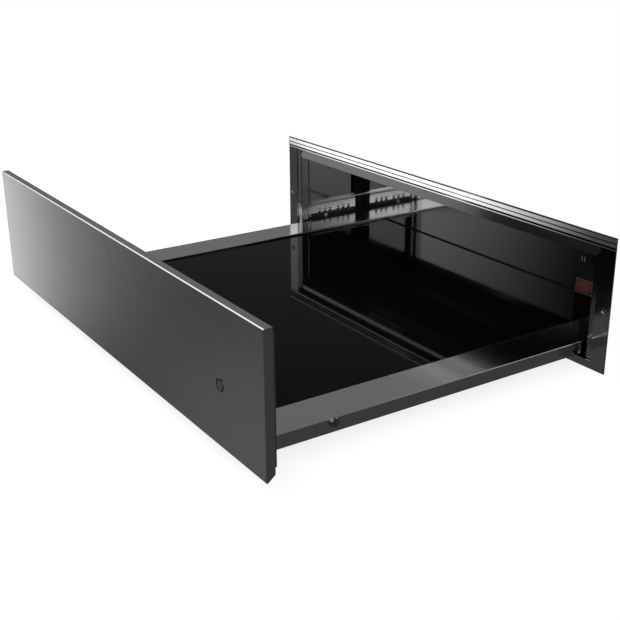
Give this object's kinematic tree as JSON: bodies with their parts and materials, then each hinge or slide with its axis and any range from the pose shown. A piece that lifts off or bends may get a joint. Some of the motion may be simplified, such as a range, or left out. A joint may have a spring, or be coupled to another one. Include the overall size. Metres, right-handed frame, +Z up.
{
  "type": "built-in warming drawer",
  "caption": "Slim built-in warming drawer with a brushed steel front, heated black glass floor, ball runners, push latch and a polished flange round its carcase.",
  "frame": {"origin": "middle of the niche's front floor edge: the carcase's underside is at Z = 0 and the flange's back face, which seats on the cabinet, is at Y = 0", "axes": "+X across the front, +Y into the cabinet, +Z up"},
  "size_m": [0.595, 0.9315, 0.141],
  "materials": {
    "brushed_front": "brushed across, satin",
    "galvanised": "zinc-coated sheet",
    "polished_steel": "polished",
    "satin_steel": "fine satin",
    "zinc": "bright zinc",
    "ball_steel": "polished",
    "black_steel": "satin black",
    "black_plastic": "fine satin",
    "black_rubber": "matt",
    "black_glass": "polished, opaque",
    "felt": "needled fibre board",
    "heater_film": "film over foil tracks",
    "red_plastic": "gloss",
    "grey_plastic": "satin",
    "dark_lens": "gloss"
  },
  "bodies": {
    "carcase": {"carcase_base": "galvanised", "carcase_side_left": "galvanised", "carcase_side_right": "galvanised", "carcase_top": "galvanised", "carcase_back": "galvanised", "front_flange": "polished_steel", "flange_trim": "polished_steel", "inner_frame": "polished_steel", "carcase_rivets": "galvanised", "runner_channel_left": "zinc", "runner_channel_right": "zinc", "runner_stop_left": "black_plastic", "runner_stop_right": "black_plastic", "latch_body": "black_plastic", "rear_buffers": "black_rubber", "terminal_box": "black_plastic", "terminal_cover": "black_plastic", "terminal_block": "grey_plastic", "cable_gland": "black_plastic"},
    "drawer": {"front_panel": "brushed_front", "front_insulation": "felt", "front_backing": "black_plastic", "front_gasket": "black_rubber", "lens_ring": "zinc", "indicator_lens": "dark_lens", "lamp_board": "grey_plastic", "tray_pan": "galvanised", "insulation_sheet": "felt", "heating_mat": "heater_film", "glass_plate": "black_glass", "glass_seal": "black_rubber", "side_rim_left": "satin_steel", "side_rim_right": "satin_steel", "bumper_screws": "zinc", "rear_panel": "polished_steel", "side_wipers": "black_rubber", "guide_bar_left": "black_steel", "guide_bar_right": "black_steel", "end_block_left": "black_plastic", "end_block_right": "black_plastic", "ball_row_left": "ball_steel", "ball_row_right": "ball_steel", "ball_cage_left": "zinc", "ball_cage_right": "zinc", "guide_bar_screws": "zinc", "front_brackets": "satin_steel", "front_screws": "zinc", "front_rail": "satin_steel", "control_plate": "black_plastic", "control_housing": "black_plastic", "latch_striker": "galvanised", "thermal_cutout": "zinc"},
    "plunger": {"latch_plunger": "grey_plastic"},
    "rocker": {"switch_rocker": "red_plastic"},
    "dial": {"thermostat_dial": "black_plastic"}
  },
  "joints": [
    {"name": "drawer_slide", "type": "slide", "parent": "carcase", "child": "drawer", "axis": [0, 1, 0], "range_m": [0, 0.3728]},
    {"name": "latch_push", "type": "slide", "parent": "carcase", "child": "plunger", "axis": [0, 1, 0], "range_m": [0, 0.0036], "stiffness_N_per_m": 900},
    {"name": "switch_rock", "type": "hinge", "parent": "drawer", "child": "rocker", "pos_m": [0.157, 0.1086, 0.0315], "axis": [1, 0, 0], "range_deg": [0, 14]},
    {"name": "thermostat_turn", "type": "hinge", "parent": "drawer", "child": "dial", "pos_m": [0.157, 0.1055, 0.0715], "axis": [0, -1, 0], "range_deg": [0, 270]}
  ]
}
